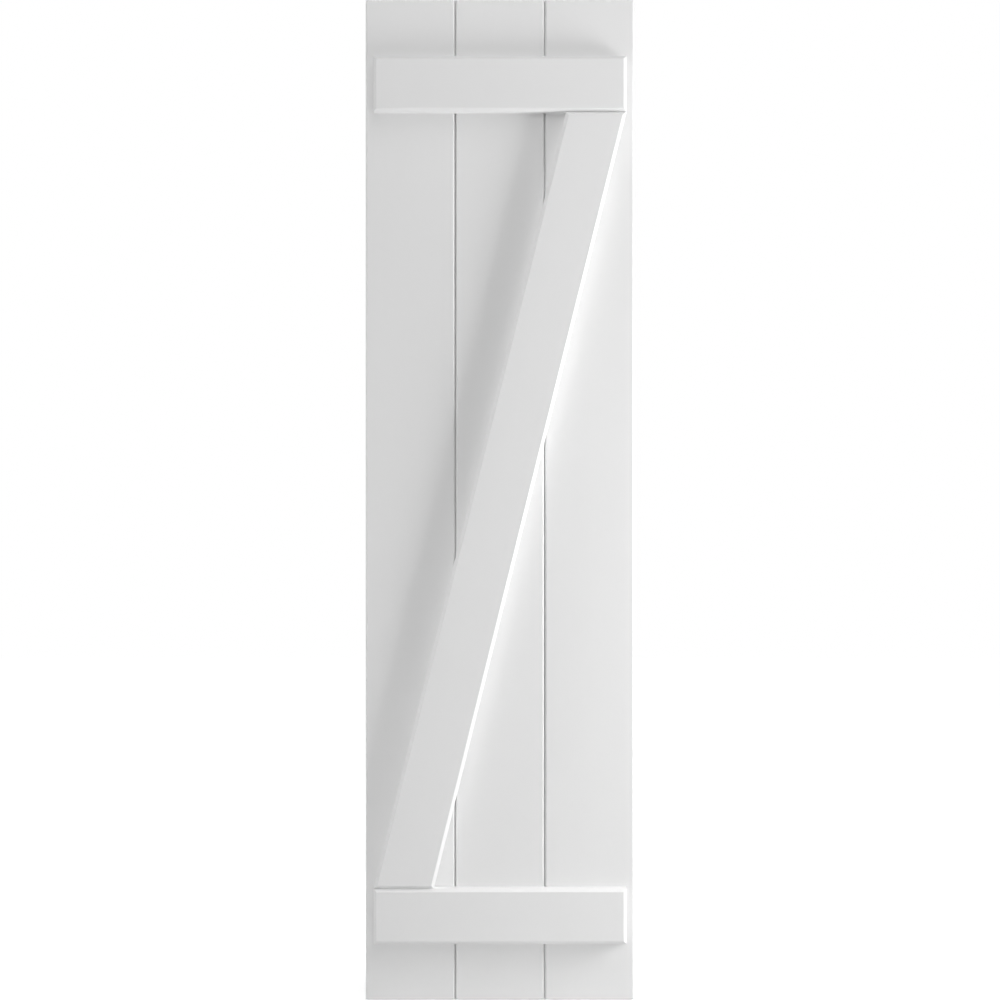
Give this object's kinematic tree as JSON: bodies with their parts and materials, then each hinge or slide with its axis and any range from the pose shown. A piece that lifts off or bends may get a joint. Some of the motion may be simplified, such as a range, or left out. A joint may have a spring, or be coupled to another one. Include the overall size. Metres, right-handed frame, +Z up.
{
  "type": "board and batten shutter",
  "caption": "Tall narrow window shutter of joined vertical boards with V-grooved joints, held by level battens near the ends and a diagonal brace, with a plain flat back for a wall.",
  "frame": {"origin": "middle of the flat back face, which lies against the wall", "axes": "+Z up along the boards, +Y out of the back into the wall, front facing -Y"},
  "size_m": [0.4096, 0.0381, 1.524],
  "materials": {
    "white_board": "smooth matt white, primed for paint",
    "screw_steel": "stainless, lightly brushed"
  },
  "bodies": {
    "root": {"left_board": "white_board", "middle_board": "white_board", "right_board": "white_board", "top_batten": "white_board", "bottom_batten": "white_board", "diagonal_brace": "white_board", "top_batten_screw_1": "screw_steel", "top_batten_screw_2": "screw_steel", "top_batten_screw_3": "screw_steel", "top_batten_screw_4": "screw_steel", "top_batten_screw_5": "screw_steel", "top_batten_screw_6": "screw_steel", "bottom_batten_screw_1": "screw_steel", "bottom_batten_screw_2": "screw_steel", "bottom_batten_screw_3": "screw_steel", "bottom_batten_screw_4": "screw_steel", "bottom_batten_screw_5": "screw_steel", "bottom_batten_screw_6": "screw_steel", "diagonal_brace_screw_1": "screw_steel", "diagonal_brace_screw_2": "screw_steel", "diagonal_brace_screw_3": "screw_steel", "diagonal_brace_screw_4": "screw_steel", "diagonal_brace_screw_5": "screw_steel", "diagonal_brace_screw_6": "screw_steel"}
  },
  "joints": []
}
